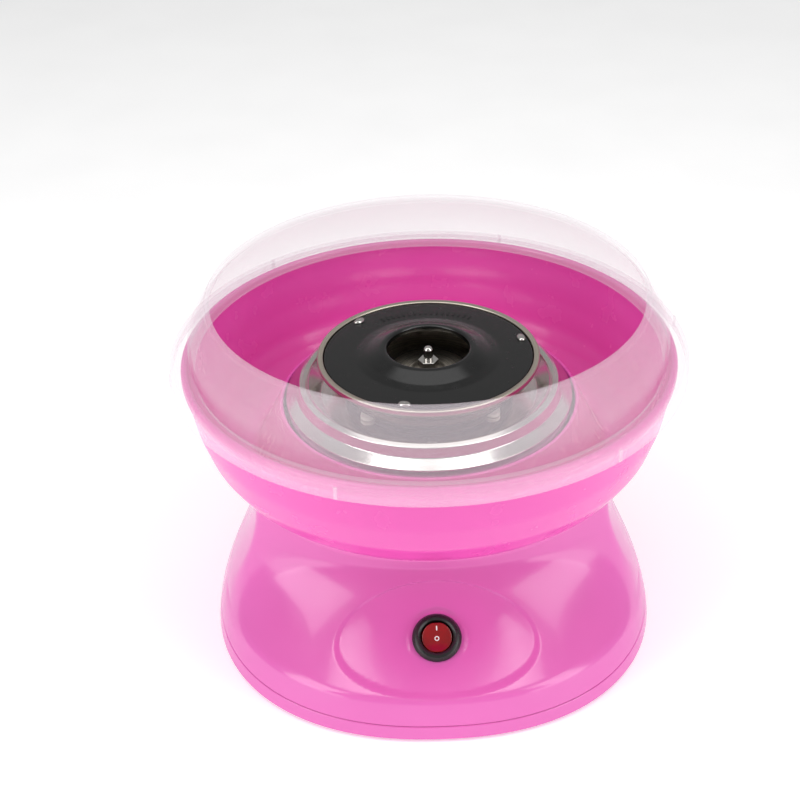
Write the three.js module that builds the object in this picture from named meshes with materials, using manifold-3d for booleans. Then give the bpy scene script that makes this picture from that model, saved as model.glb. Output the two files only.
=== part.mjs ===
// Countertop cotton candy machine. Millimetres, +Z up, the front faces -Y.
// The origin is on the surface the machine stands on, at the centre of its footprint.
import * as THREE from 'three';
import { ParametricGeometry } from 'three/addons/geometries/ParametricGeometry.js';
import { mergeVertices } from 'three/addons/utils/BufferGeometryUtils.js';
import Module from 'manifold-3d';

const wasm = await Module();
wasm.setup();

// ---------------------------------------------------------------- driving dimensions
const GAP = 0.3;                 // air left between touching pieces

const BASE_BOTTOM = 2;           // underside of the base plate
const BASE_HALF_WIDTH = 122.2;   // at the base plate's underside
const FOOT_SLOPE = -0.15;        // radius change per mm of height at the foot
const NECK_HALF_WIDTH = 97.5;    // at NECK_HEIGHT above the base plate's underside
const NECK_HEIGHT = 75;
const NECK_SLOPE = -0.1;
const SQUARENESS = 2.25;         // exponent of the rounded-square plan outline
const SEAM = 9.4;                // joint between base plate and housing
const DECK = 101;                // shoulder that the bowl stands on
const SHELL = 2.5;               // moulded wall thickness

const SCOOP_EDGE_Y = -30;        // side edges of the scooped front
const SCOOP_NECK = 60;           // the scoop's distance from the axis, high up
const SCOOP_TOP = 64;            // above this the scoop is upright
const SCOOP_CURVE = 1.35;        // 1 would be a straight ramp
const SKIRT_TOP = 23;            // the scoop starts at the top of the skirt
const LIP_BOTTOM = 96;           // underside of the deck where it overhangs the scoop
const LIP_DRAFT = 1.4;
const OVAL = { halfWidth: 54, halfHeight: 31.5, middle: -57, tilt: 60, step: 1.6, cone: 3 };

const COLUMN_RADIUS = 75;        // raised centre of the housing, inside the bowl
const COLUMN_TOP = 133;
const SHAFT_HOLE = 14;

const SWITCH = { y: -86, z: 38.9, tilt: 58, hole: 10.2, body: 9.9, bezel: 12.9 };
const ROCKER_TURN = 10;          // the rocker rests this far to its off side

const BOWL_HOLE = 77.4;
const BOWL_RIM_TOP = 164;
const GUARD_RADIUS = 135;        // outer radius of the guard's flange
const GUARD_FLANGE_TOP = 166.2;
const GUARD_SKIRT_BOTTOM = 158;
const GUARD_TOP = 199;
const GUARD_WALL = 1.6;

const SHAFT_RADIUS = 2.5;
const SHAFT_BORE = SHAFT_RADIUS + GAP;
const HEAD_RADIUS = 58.4;
const HEAD_TOP = 160.5;
const DRIVE_PIN = { radius: 0.9, halfLength: 7.5, z: 148.3 };
const COVER_RADIUS = 55;
const TAB_CIRCLE = 51.5;
const TAB_ANGLES = [15, 135, 255];
const HEATER_RADIUS = 42;
const HEATER_ENDS = [75, 105];   // directions of the heating ring's two ends

const BIG = 48;                  // facets round a large turned piece
const MIDDLE = 40;
const SMALL = 16;
const FINE = 8;                  // facets round a screw or its hole
const COLUMNS = 60;              // facets round the base

// ---------------------------------------------------------------- materials
const finish = (color, roughness, metalness = 0, extra = {}) =>
  new THREE.MeshStandardMaterial({ color, roughness, metalness, ...extra });
const PINK = finish(0xf070bf, 0.2);
const CLEAR = finish(0xf0dfe8, 0.15, 0, { transparent: true, opacity: 0.45 });
const BLACK = finish(0x161312, 0.35);
const RED = finish(0xb40a12, 0.15);
const STEEL = finish(0xc9c5c0, 0.25, 1);
const ALUMINIUM = finish(0xbcb4a6, 0.4, 1);
const BRASS = finish(0xb9923c, 0.35, 1);
const COPPER = finish(0xa85c32, 0.4, 1);
const RUBBER = finish(0x1c1c1c, 0.85);
const CERAMIC = finish(0xe9e4d8, 0.6);
const CARBON = finish(0x2a2a2c, 0.7);
const NYLON = finish(0xe8e6e0, 0.5);

// ---------------------------------------------------------------- helpers
const machine = new THREE.Group();
const radians = THREE.MathUtils.degToRad;

function add(name, geometry, material, parent = machine) {
  const mesh = new THREE.Mesh(geometry, material);
  mesh.name = name;
  parent.add(mesh);
  return mesh;
}

// A solid of revolution about +Z from [radius, height] points, counter-clockwise seen
// with the radius to the right and the height up.
function turned(profile, facets = SMALL) {
  const onAxis = profile[0][0] === 0 && profile.at(-1)[0] === 0;
  const loop = onAxis ? profile : [...profile, profile[0]];
  const points = loop.map(([radius, height]) => new THREE.Vector2(radius, height));
  return new THREE.LatheGeometry(points, facets).rotateX(Math.PI / 2);
}

const disc = (radius, low, high, facets) =>
  turned([[0, low], [radius, low], [radius, high], [0, high]], facets);

const ring = (inner, outer, low, high, facets) =>
  turned([[inner, low], [outer, low], [outer, high], [inner, high]], facets);

const box = (x, y, z) => new THREE.BoxGeometry(x, y, z);

// Copies of a geometry round the axis, at the given directions in degrees.
const around = (geometry, radius, angles) =>
  angles.map((angle) => geometry.clone().translate(radius, 0, 0).rotateZ(radians(angle)));

const everyDegrees = (count, start = 0) =>
  Array.from({ length: count }, (_, i) => start + (360 / count) * i);

function toSolid(geometry) {
  const bare = geometry.clone();
  bare.deleteAttribute('normal');
  bare.deleteAttribute('uv');
  const merged = mergeVertices(bare, 1e-4);
  const corners = merged.index.array;
  const triVerts = [];
  for (let i = 0; i < corners.length; i += 3) {
    const [a, b, c] = corners.slice(i, i + 3);
    if (a !== b && b !== c && c !== a) triVerts.push(a, b, c);
  }
  return new wasm.Manifold(new wasm.Mesh({
    numProp: 3,
    vertProperties: merged.attributes.position.array,
    triVerts: Uint32Array.from(triVerts),
  }));
}

function toGeometry(solid) {
  const mesh = solid.getMesh();
  const geometry = new THREE.BufferGeometry();
  geometry.setAttribute('position', new THREE.BufferAttribute(mesh.vertProperties, 3));
  geometry.setIndex(new THREE.BufferAttribute(mesh.triVerts, 1));
  geometry.computeVertexNormals();
  return geometry;
}

const cut = (geometry, cutters) =>
  toGeometry(cutters.reduce((solid, cutter) => solid.subtract(toSolid(cutter)), toSolid(geometry)));

const join = (geometries) =>
  toGeometry(geometries.slice(1).reduce((solid, piece) => solid.add(toSolid(piece)), toSolid(geometries[0])));

// One named mesh for each geometry: name_1, name_2 and so on.
const addEach = (name, geometries, material, parent) =>
  geometries.forEach((geometry, i) => add(`${name}_${i + 1}`, geometry, material, parent));

// A round bar along a smooth line through the points.
function bar(points, radius, steps, sides = 6) {
  const section = new THREE.Shape().absarc(0, 0, radius, 0, 2 * Math.PI);
  const path = new THREE.CatmullRomCurve3(points.map((p) => new THREE.Vector3(...p)));
  return new THREE.ExtrudeGeometry(section, { extrudePath: path, steps, curveSegments: sides / 2 });
}

// ---------------------------------------------------------------- the base's surface
const wallCurve = new THREE.CubicBezierCurve(
  new THREE.Vector2(BASE_HALF_WIDTH, 0),
  new THREE.Vector2(BASE_HALF_WIDTH + FOOT_SLOPE * NECK_HEIGHT / 3, NECK_HEIGHT / 3),
  new THREE.Vector2(NECK_HALF_WIDTH - NECK_SLOPE * NECK_HEIGHT / 3, 2 * NECK_HEIGHT / 3),
  new THREE.Vector2(NECK_HALF_WIDTH, NECK_HEIGHT),
);

// Half-width of the side wall at a height.
function wallWidth(z) {
  const height = z - BASE_BOTTOM;
  if (height > NECK_HEIGHT) return NECK_HALF_WIDTH + NECK_SLOPE * (height - NECK_HEIGHT);
  return wallCurve.getPoint(height / NECK_HEIGHT).x;
}

// How far the rounded-square outline stands from the axis, for a half-width of 1.
function outline(angle) {
  const across = Math.abs(Math.sin(angle)) ** SQUARENESS;
  const along = Math.abs(Math.cos(angle)) ** SQUARENESS;
  return (across + along) ** (-1 / SQUARENESS);
}

// Depth of the scoop in the middle of the front: a ramp that curves up to the neck.
function scoopDepth(z) {
  const share = THREE.MathUtils.clamp((z - SKIRT_TOP) / (SCOOP_TOP - SKIRT_TOP), 0, 1);
  const reach = wallWidth(SKIRT_TOP) - SCOOP_NECK;
  return wallWidth(z) - SCOOP_NECK - reach * (1 - share) ** SCOOP_CURVE;
}

// How much of that depth the scoop has towards its side edges, where it is none.
function scoopShare(angle, z) {
  const width = wallWidth(z);
  const edgeX = width * (1 - (Math.abs(SCOOP_EDGE_Y) / width) ** SQUARENESS) ** (1 / SQUARENESS);
  const centre = (edgeX ** 2 + SCOOP_EDGE_Y ** 2 - SCOOP_NECK ** 2) / (2 * SCOOP_NECK + 2 * SCOOP_EDGE_Y);
  const along = -Math.cos(angle) * centre;
  const arc = along + Math.sqrt(along ** 2 - centre ** 2 + (SCOOP_NECK + centre) ** 2);
  return (width * outline(angle) - arc) / (width - SCOOP_NECK);
}

// Distance from the axis to the scooped front panel.
const panelRadius = (angle, z) => wallWidth(z) * outline(angle) - scoopDepth(z) * scoopShare(angle, z);

// Depth of the oval recess round the switch, measured from the front panel.
function ovalDepth(angle, radius, z) {
  const across = radius * Math.sin(angle) / OVAL.halfWidth;
  const tilt = radians(OVAL.tilt);
  const up = (z * Math.cos(tilt) - radius * Math.cos(angle) * Math.sin(tilt) - OVAL.middle) / OVAL.halfHeight;
  const distance = Math.hypot(across, up);
  return distance < 1 ? OVAL.step + OVAL.cone * (1 - distance) : 0;
}

// Outer surface of the base at a direction (0 is the front) and a height.
function baseRadius(angle, z) {
  const wall = wallWidth(z) * outline(angle);
  if (Math.cos(angle) <= 0 || z < SKIRT_TOP || z > LIP_BOTTOM) return wall;
  const panel = panelRadius(angle, z);
  return Math.min(wall, panel - ovalDepth(angle, panel, z));
}

// A closed skin through rings: each ring is [height, (angle) => radius].
function skin(rings) {
  const place = (u, v, target) => {
    const angle = 2 * Math.PI * u;
    const [height, radius] = rings[Math.round(v * (rings.length - 1))];
    target.set(radius(angle) * Math.sin(angle), -radius(angle) * Math.cos(angle), height);
  };
  return new ParametricGeometry(place, COLUMNS, rings.length - 1);
}

const round = (radius) => () => radius;
const wallRing = (z, inset = 0) => [z, (angle) => baseRadius(angle, z) - inset];
const innerRing = (z) => [z, (angle) => baseRadius(angle, Math.min(z + SHELL, LIP_BOTTOM)) - SHELL];
const plateRing = (z, inset) => [z, (angle) => wallWidth(Math.max(z, BASE_BOTTOM)) * outline(angle) - inset];

// ---------------------------------------------------------------- base plate and feet
const POST_SPOTS = [[53, 66], [-53, 66], [53, -66], [-53, -66]];
const FOOT_SPOTS = [[84, 52], [-84, 52], [84, -52], [-84, -52]];
const PLATE_TOP = BASE_BOTTOM + 3.5;
const spots = (geometry, places) => places.map(([x, y]) => geometry.clone().translate(x, y, 0));

function basePlate() {
  const plate = skin([
    [BASE_BOTTOM, round(0)],
    plateRing(BASE_BOTTOM, 1.5),
    plateRing(BASE_BOTTOM + 1.5, 0),
    plateRing(SEAM, 0),
    plateRing(SEAM, SHELL),
    plateRing(PLATE_TOP, SHELL),
    [PLATE_TOP, round(0)],
  ]);
  const airSlot = box(24, 3, 10).translate(0, 0, BASE_BOTTOM);
  return cut(plate, [
    ...spots(disc(2, 0, 10, FINE), POST_SPOTS),
    ...spots(disc(3.6, 0, BASE_BOTTOM + 2, FINE), POST_SPOTS),
    ...spots(disc(3.1, 0, 10, 12), FOOT_SPOTS),
    ...around(airSlot, 46, everyDegrees(8)),
  ]);
}

const rubberFoot = () => turned([
  [0, 0], [8, 0], [8, BASE_BOTTOM - GAP], [2.7, BASE_BOTTOM - GAP], [2.7, PLATE_TOP + GAP],
  [4.4, PLATE_TOP + GAP], [0, PLATE_TOP + 3],
], 12);

const screw = (low, head, top, shank = 1.5, headRadius = 3) => turned([
  [0, low], [headRadius, low], [headRadius, low + head], [shank, low + head], [shank, top], [0, top],
], FINE);

function addBasePlate() {
  add('base_plate', basePlate(), PINK);
  addEach('rubber_foot', spots(rubberFoot(), FOOT_SPOTS), RUBBER);
  addEach('base_screw', spots(screw(2.3, 1.4, 22), POST_SPOTS), STEEL);
}

// ---------------------------------------------------------------- housing
const VENT_ANGLES = [70, 80, 90, 100, 110];
const GLAND = { z: 24, tilt: 17 };
const glandY = wallWidth(GLAND.z);

// Turns and moves a geometry that points along +Z to the front panel's switch seat.
const onSwitchSeat = (geometry) =>
  geometry.rotateX(radians(90 - SWITCH.tilt)).translate(0, SWITCH.y, SWITCH.z);
const onRearWall = (geometry) =>
  geometry.rotateX(radians(GLAND.tilt - 90)).translate(0, glandY, GLAND.z);

const MOUNT_ANGLES = everyDegrees(3, 30);     // dish screws
const DAMPER_ANGLES = everyDegrees(3, 90);    // motor mounts
const MOUNT_CIRCLE = 52;
const DAMPER_CIRCLE = 28;

function housing() {
  const low = SEAM + GAP;
  const wallHeights = [low, SKIRT_TOP, 26, 30, 35, 40, 46, 52, 58, SCOOP_TOP, 80, LIP_BOTTOM];
  const innerHeights = [DECK - SHELL, 80, SCOOP_TOP, 56, 49, 42, 36, 30, 25, 20.5, low];
  const outside = [
    ...wallHeights.map((z) => wallRing(z)),
    plateRing(LIP_BOTTOM + LIP_DRAFT, 0),
    plateRing(DECK - 1.2, 0),
  ];
  const shell = skin([
    ...outside,
    plateRing(DECK, 1.5),
    [DECK, round(COLUMN_RADIUS)],
    [COLUMN_TOP, round(COLUMN_RADIUS)],
    [COLUMN_TOP, round(SHAFT_HOLE)],
    [COLUMN_TOP - SHELL, round(SHAFT_HOLE)],
    [COLUMN_TOP - SHELL, round(COLUMN_RADIUS - SHELL)],
    [DECK - SHELL, round(COLUMN_RADIUS - SHELL)],
    ...innerHeights.map((z) => innerRing(z)),
    wallRing(low),
  ]);
  const envelope = skin([[PLATE_TOP, round(0)], plateRing(PLATE_TOP, SHELL + GAP),
    plateRing(SEAM, SHELL + GAP), ...outside, [DECK - 1.2, round(0)]]);
  const fullPosts = spots(disc(5, PLATE_TOP + GAP, DECK - 2, FINE), POST_SPOTS);
  const posts = fullPosts.map((post) => toGeometry(toSolid(post).intersect(toSolid(envelope))));
  const seat = onSwitchSeat(disc(SWITCH.bezel + 2, -5.5, -GAP, 24));
  const seatRecess = onSwitchSeat(disc(SWITCH.bezel + 1.2, -GAP, 12, 24));
  const bosses = around(disc(3.6, COLUMN_TOP - 1, 137 - GAP, FINE), MOUNT_CIRCLE, MOUNT_ANGLES);
  const deckHole = (radius) => disc(radius, COLUMN_TOP - 10, COLUMN_TOP + 10, FINE);
  return cut(join([shell, ...posts, ...bosses, seat]), [
    ...spots(disc(1.9, 0, 26, FINE), POST_SPOTS),
    seatRecess,
    onSwitchSeat(disc(SWITCH.hole, -20, 20, 24)),
    onRearWall(disc(6.2, -15, 15, 16)),
    ...around(box(30, 3.4, 26).translate(0, 0, 60), 105, VENT_ANGLES),
    ...around(deckHole(1.9), MOUNT_CIRCLE, MOUNT_ANGLES),
    ...around(deckHole(1.9), DAMPER_CIRCLE, DAMPER_ANGLES),
    ...around(deckHole(3.4), HEATER_RADIUS, HEATER_ENDS),
  ]);
}

// Strain-relief bush for the supply cord, through the rear wall.
const cordGland = () => onRearWall(turned([
  [3.6, -9], [5.2, -9], [5.2, -7], [5.8, -4.6], [5.8, 1], [8.2, 1], [8.2, 2.4], [5.4, 5.4], [3.6, 5.4],
]));

function addHousing() {
  add('base_housing', housing(), PINK);
  add('cord_gland', cordGland(), BLACK);
}

// ---------------------------------------------------------------- power switch
function addSwitch() {
  const { body, bezel } = SWITCH;
  const group = new THREE.Group();
  group.position.set(0, SWITCH.y, SWITCH.z);
  group.rotation.x = radians(90 - SWITCH.tilt);
  machine.add(group);
  add('switch_body', turned([
    [0, -19], [body, -19], [body, 0], [bezel, 0], [bezel, 1.2], [bezel - 1.4, 3.2], [bezel - 3, 3.6],
    [bezel - 4.3, 2.6], [8.5, 1.6], [8.5, -7], [0, -7],
  ], 24), BLACK, group);
  const outlineOfRocker = new THREE.Shape();
  outlineOfRocker.moveTo(-7.6, 2.6);
  outlineOfRocker.quadraticCurveTo(0, 0.4, 7.6, 2.6);
  outlineOfRocker.lineTo(7.6, -0.2);
  outlineOfRocker.lineTo(2, -4.6);
  outlineOfRocker.lineTo(-2, -4.6);
  outlineOfRocker.lineTo(-7.6, -0.2);
  const sides = { depth: 20, bevelEnabled: false, curveSegments: 6 };
  const slab = new THREE.ExtrudeGeometry(outlineOfRocker, sides);
  slab.translate(0, 0, -10).rotateY(Math.PI / 2).rotateX(Math.PI / 2);
  const rounded = toGeometry(toSolid(slab).intersect(toSolid(disc(7.9, -8, 8, 24))));
  add('switch_rocker', rounded, RED, group).rotation.x = radians(ROCKER_TURN);
  const tab = box(4.8, 0.8, 8).translate(0, 0, -19 - GAP - 4);
  addEach('switch_terminal', [-5, 0, 5].map((y) => tab.clone().translate(0, y, 0)), BRASS, group);
}

// ---------------------------------------------------------------- bowl and splash guard
const bowl = () => turned([
  [BOWL_HOLE, 131.5], [89.5, 104], [90.5, DECK + GAP], [99, DECK + GAP], [105.2, 104.4],
  [112.4, 110.8], [119, 121], [124, 136], [127.4, 155], [129.2, 158], [129.2, 162.6],
  [127.4, BOWL_RIM_TOP], [125.4, 163.2], [124.6, 154], [121.4, 137], [116.6, 122.6],
  [110.6, 112.8], [103.6, 106.4], [98, 104.4], [93.8, 106], [80, 133], [79.4, 135],
  [BOWL_HOLE, 135],
], BIG);

// Outer radius of the guard's domed wall, from its foot (0) to its rim (1).
const guardWall = (t) => 122.9 - 8.9 * t + 20 * t * (1 - t);
const guardPoint = (t, inset) =>
  [guardWall(t) - inset, THREE.MathUtils.lerp(GUARD_FLANGE_TOP, GUARD_TOP - 3, t)];

function splashGuard() {
  const steps = [0.25, 0.5, 0.75, 1];
  const foot = guardWall(0);
  const rim = guardWall(1);
  const skirt = GUARD_RADIUS - GUARD_WALL;
  const body = turned([
    [foot - GUARD_WALL, 161.5], [foot, 161.5], [foot, GUARD_FLANGE_TOP - GUARD_WALL],
    [skirt - 0.6, GUARD_FLANGE_TOP - GUARD_WALL], [skirt, GUARD_SKIRT_BOTTOM],
    [GUARD_RADIUS, GUARD_SKIRT_BOTTOM], [GUARD_RADIUS, GUARD_FLANGE_TOP - 1.4],
    [GUARD_RADIUS - 1.4, GUARD_FLANGE_TOP], [foot + 1.4, GUARD_FLANGE_TOP],
    ...steps.map((t) => guardPoint(t, 0)),
    [rim + 0.3, GUARD_TOP - 0.8], [rim - 0.8, GUARD_TOP],
    [rim - 2.9, GUARD_TOP - 0.6], [rim - 2.6, GUARD_TOP - 3.4],
    ...steps.slice(0, -1).reverse().map((t) => guardPoint(t, GUARD_WALL)),
  ], BIG);
  const clip = box(0.9, 1.8, 6.6).translate(0, 0, GUARD_SKIRT_BOTTOM + 3.8);
  return join([body, ...around(clip, GUARD_RADIUS - 0.1, everyDegrees(6, -110))]);
}

// ---------------------------------------------------------------- heater and its dish
const dish = () => turned([
  [11, 137], [58, 137], [64.6, 145], [66, 146], [67.6, 145.2], [69, 140],
  [75.6, 136.2], [76, 137.1], [70, 140.8], [68.7, 146], [66, 147.1], [63.8, 146],
  [57.4, 138], [11, 138],
], MIDDLE);

function heatingRing() {
  const [first, last] = HEATER_ENDS;
  const turns = 360 - (last - first);
  const points = Array.from({ length: 25 }, (_, i) => {
    const angle = radians(last + turns * i / 24);
    return [HEATER_RADIUS * Math.cos(angle), HEATER_RADIUS * Math.sin(angle), 143.6];
  });
  return bar(points, 3, 32, 8);
}

function addHeater() {
  add('heater_dish', cut(dish(), [
    ...around(disc(1.9, 130, 145, FINE), MOUNT_CIRCLE, MOUNT_ANGLES),
    ...around(disc(3.4, 130, 145, FINE), HEATER_RADIUS, HEATER_ENDS),
  ]), STEEL);
  add('heating_ring', heatingRing(), STEEL);
  addEach('ring_support', around(disc(4, 138 + GAP, 140.2, 12), HEATER_RADIUS, [220, 320]), CERAMIC);
  addEach('heater_bush', around(ring(1.4, 2.9, 127, 139.6, FINE), HEATER_RADIUS, HEATER_ENDS), CERAMIC);
  addEach('heater_pin', around(disc(1, 120, 140.2, 8), HEATER_RADIUS, HEATER_ENDS), STEEL);
  const dishScrew = screw(-140, 1.7, -124).rotateX(Math.PI);
  addEach('dish_screw', around(dishScrew, MOUNT_CIRCLE, MOUNT_ANGLES), STEEL);
  add('heat_shield', cut(ring(12, 60, 134.6, 135.4, 32), [
    ...around(disc(4.2, 130, 140, FINE), MOUNT_CIRCLE, MOUNT_ANGLES),
    ...around(disc(3.5, 130, 140, FINE), HEATER_RADIUS, HEATER_ENDS),
  ]), STEEL);
  const cutoutTop = COLUMN_TOP - SHELL - GAP;
  add('thermal_cutout', turned([
    [0, 120.5], [7, 120.5], [7, 124], [8.5, 124], [8.5, cutoutTop], [0, cutoutTop],
  ]).translate(-46, 0, 0), BRASS);
}

// ---------------------------------------------------------------- motor
const BRACKET = 118;
const CAN_RADIUS = 17.5;
const CAN_LOW = 70;

function magnet(start) {
  const shape = new THREE.Shape();
  shape.absarc(0, 0, 16, radians(start), radians(start + 120), false);
  shape.absarc(0, 0, 13.9, radians(start + 120), radians(start), true);
  const block = { depth: 32, bevelEnabled: false, curveSegments: 8 };
  return new THREE.ExtrudeGeometry(shape, block).translate(0, 0, 77);
}

function fan() {
  const hub = ring(SHAFT_BORE, 6, 52, 60);
  const blade = box(23, 1.2, 9).rotateX(radians(35)).translate(17, 0, 56);
  return join([hub, ...everyDegrees(7).map((angle) => blade.clone().rotateZ(radians(angle)))]);
}

function addMotor() {
  add('motor_bracket', cut(ring(7, 34, BRACKET, BRACKET + 1.5, 24), around(
    disc(3.2, 110, 125, 12), DAMPER_CIRCLE, DAMPER_ANGLES)), STEEL);
  const grommet = turned([
    [1.9, BRACKET - 2.2], [5, BRACKET - 2.2], [5, BRACKET - GAP], [2.9, BRACKET - GAP],
    [2.9, BRACKET + 1.5 + GAP], [5.5, BRACKET + 1.5 + GAP], [5.5, COLUMN_TOP - SHELL - GAP],
    [1.9, COLUMN_TOP - SHELL - GAP],
  ], 12);
  addEach('motor_damper', around(grommet, DAMPER_CIRCLE, DAMPER_ANGLES), RUBBER);
  addEach('damper_screw', around(screw(BRACKET - 4.3, 1.8, 132), DAMPER_CIRCLE, DAMPER_ANGLES), STEEL);
  add('motor_can', turned([
    [CAN_RADIUS - 1.2, CAN_LOW], [CAN_RADIUS, CAN_LOW], [CAN_RADIUS, BRACKET - GAP],
    [6, BRACKET - GAP], [6, 116.2], [CAN_RADIUS - 1.2, 116.2],
  ], 24), STEEL);
  add('motor_end_cap', ring(6, CAN_RADIUS, 66, CAN_LOW - GAP, 24), NYLON);
  add('motor_bearing_top', ring(SHAFT_BORE, 5.7, 113.8, 117.6), BRASS);
  add('motor_bearing_bottom', ring(SHAFT_BORE, 5.7, 66.2, 69.6), BRASS);
  addEach('motor_magnet', [magnet(30), magnet(210)], CARBON);
  add('rotor_core', ring(4.1, 13.2, 82, 106), STEEL);
  add('rotor_winding', turned([
    [SHAFT_BORE, 77.6], [10, 77.6], [11.6, 79.6], [10, 81.6], [3.8, 81.6],
    [3.8, 106.4], [10, 106.4], [11.6, 108.4], [10, 110.4], [SHAFT_BORE, 110.4],
  ], SMALL), COPPER);
  add('commutator', ring(SHAFT_BORE, 5.2, 71, 77.2), COPPER);
  add('cooling_fan', fan(), NYLON);
  const shaft = turned([
    [0, 49], [SHAFT_RADIUS, 49], [SHAFT_RADIUS, 162.4], [1.7, 163.6], [0, 164],
  ]);
  const crossBar = (radius, reach) =>
    disc(radius, -reach, reach, 12).rotateY(Math.PI / 2).translate(0, 0, DRIVE_PIN.z);
  add('spindle', cut(shaft, [crossBar(DRIVE_PIN.radius + GAP, 10)]), STEEL);
  add('drive_pin', crossBar(DRIVE_PIN.radius, DRIVE_PIN.halfLength), STEEL);
}

// ---------------------------------------------------------------- spinner head
const headPan = () => turned([
  [SHAFT_BORE, 147.2], [9, 147.2], [9, 149], [44, 149.2], [54, 153.2], [HEAD_RADIUS, 157.6],
  [HEAD_RADIUS, HEAD_TOP - 0.5], [57.6, HEAD_TOP], [COVER_RADIUS + GAP, HEAD_TOP - 0.4],
  [COVER_RADIUS + GAP, 157], [52.6, 156.4], [43.4, 150.6], [9, 150.4], [SHAFT_BORE, 152.4],
], MIDDLE);

const headCover = () => turned([
  [COVER_RADIUS, 157.3], [COVER_RADIUS, 159.6], [38, 159.6], [33, 160.6], [25, 163.9],
  [22.8, 164.2], [21.7, 163.6], [21.7, 160.8], [24, 161], [33, 158.2], [38, 157.3],
], MIDDLE);

function perforatedBand() {
  const band = ring(44, 44.8, 151.7, 157, 36);
  const slot = box(6, 2.4, 3.2).translate(0, 0, 154.3);
  return cut(band, around(slot, 44.4, everyDegrees(12, 5)));
}

// The drive pin sits in a slot under the pan's hub, which is open downwards.
function driveSlot() {
  const { radius, halfLength, z } = DRIVE_PIN;
  const top = z + radius + GAP;
  return box(2 * (halfLength + GAP), 2 * (radius + GAP), 8).translate(0, 0, top - 4);
}

function addHead() {
  add('head_pan', cut(headPan(), [driveSlot()]), ALUMINIUM);
  add('head_cover', cut(headCover(), around(disc(1.7, 150, 165, FINE), TAB_CIRCLE, TAB_ANGLES)), BLACK);
  const stud = turned([
    [0, 156.4], [1.2, 156.4], [1.2, 159.6 + GAP], [2.8, 159.6 + GAP], [2.2, 160.9], [0, 161.1],
  ], 12).scale(0.8, 1.25, 1);
  addEach('cover_tab', around(stud, TAB_CIRCLE, TAB_ANGLES), STEEL);
  add('sugar_screen', perforatedBand(), STEEL);
  add('head_nut', cut(disc(5.6, 152.4 + GAP, 156.4, 6), [disc(SHAFT_BORE, 150, 160)]), STEEL);
}

// ---------------------------------------------------------------- inner wiring
function addWiring() {
  add('lead_live', bar([
    [2, 98, 27], [20, 80, 24], [36, 48, 24], [42, 0, 26], [36, -40, 20], [18, -62, 14], [4.2, -74, 12],
  ], 1.3, 18), BLACK);
  add('lead_switched', bar([
    [-4.2, -68, 16], [-24, -46, 36], [-46, -24, 66], [-58, 10, 104], [-36, 40, 112], [-11, 41, 118.4],
  ], 1.3, 18), RED);
  add('lead_neutral', bar([
    [-2, 98, 29], [-8, 84, 44], [4, 70, 80], [16, 56, 104], [13, 43, 114], [11, 40.5, 118.4],
  ], 1.3, 18), NYLON);
}

addBasePlate();
addHousing();
addSwitch();
add('bowl', bowl(), PINK);
add('splash_guard', splashGuard(), CLEAR);
addHeater();
addMotor();
addHead();
addWiring();

export default machine;
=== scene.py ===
"""Looks of a countertop cotton candy machine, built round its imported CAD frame.

Lengths in the outlines are millimetres; every Blender object is in metres.
The spindle is the Z axis, the front panel faces -Y, and an angle of 0 is the front.
"""

import math

import bpy
import numpy as np
from mathutils import Matrix, Vector


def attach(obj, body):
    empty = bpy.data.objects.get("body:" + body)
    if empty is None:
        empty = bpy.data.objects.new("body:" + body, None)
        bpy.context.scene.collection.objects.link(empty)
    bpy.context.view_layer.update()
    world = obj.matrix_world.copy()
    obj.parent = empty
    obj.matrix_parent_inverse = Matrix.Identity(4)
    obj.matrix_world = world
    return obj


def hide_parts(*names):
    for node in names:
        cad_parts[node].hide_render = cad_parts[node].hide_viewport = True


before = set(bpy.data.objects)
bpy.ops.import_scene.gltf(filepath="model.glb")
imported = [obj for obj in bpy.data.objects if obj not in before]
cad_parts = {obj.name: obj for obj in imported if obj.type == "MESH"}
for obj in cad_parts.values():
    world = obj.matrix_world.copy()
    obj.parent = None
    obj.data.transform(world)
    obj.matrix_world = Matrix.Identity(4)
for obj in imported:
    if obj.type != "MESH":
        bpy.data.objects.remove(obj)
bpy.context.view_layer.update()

MM = 0.001
ROUND = 240                  # columns round a large turned piece
SMALL_ROUND = 64             # columns round a small turned piece

# ------------------------------------------------------------------ driving dimensions
BASE_BOTTOM = 2.0
PLATE_TOP = 5.5
BASE_HALF_WIDTH = 122.2
FOOT_SLOPE = -0.15
NECK_HALF_WIDTH = 97.5
NECK_HEIGHT = 75.0
NECK_SLOPE = -0.1
SQUARENESS = 2.25            # exponent of the rounded-square plan outline
SEAM = 9.4                   # joint between base plate and housing
DECK = 101.0                 # shoulder that the bowl stands on
SHELL = 2.5                  # moulded wall thickness
GAP = 0.3
RIDGE_BLEND = 2.4            # softness of the scoop's edges

SCOOP_EDGE_Y = -30.0         # side edges of the scooped front
SCOOP_NECK = 60.0            # the scoop's distance from the axis, high up
SCOOP_TOP = 64.0             # above this the scoop is upright
SCOOP_CURVE = 1.35           # 1 would be a straight ramp
SKIRT_TOP = 23.0             # the scoop starts at the top of the skirt
SKIRT_SHARE = 0.35           # least share of the scoop's slope that goes on below its edge
SCOOP_LIMIT = 0.05           # cosine of the direction where the scoop's surface ends
SCOOP_FADE = 0.15            # and how far before that its edge gets crisp
BEYOND = 1e3                 # radius that stands for no panel at all
LIP_BOTTOM = 96.0            # underside of the deck where it overhangs the scoop
OVAL_HALF_WIDTH = 54.0
OVAL_HALF_HEIGHT = 31.5
OVAL_MIDDLE = -57.0
OVAL_TILT = math.radians(60.0)
OVAL_STEP = 1.6
OVAL_CONE = 3.0
OVAL_LIP = 0.045             # share of the oval over which its step rises

COLUMN_RADIUS = 75.0
COLUMN_TOP = 133.0
SHAFT_HOLE = 14.0

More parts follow.
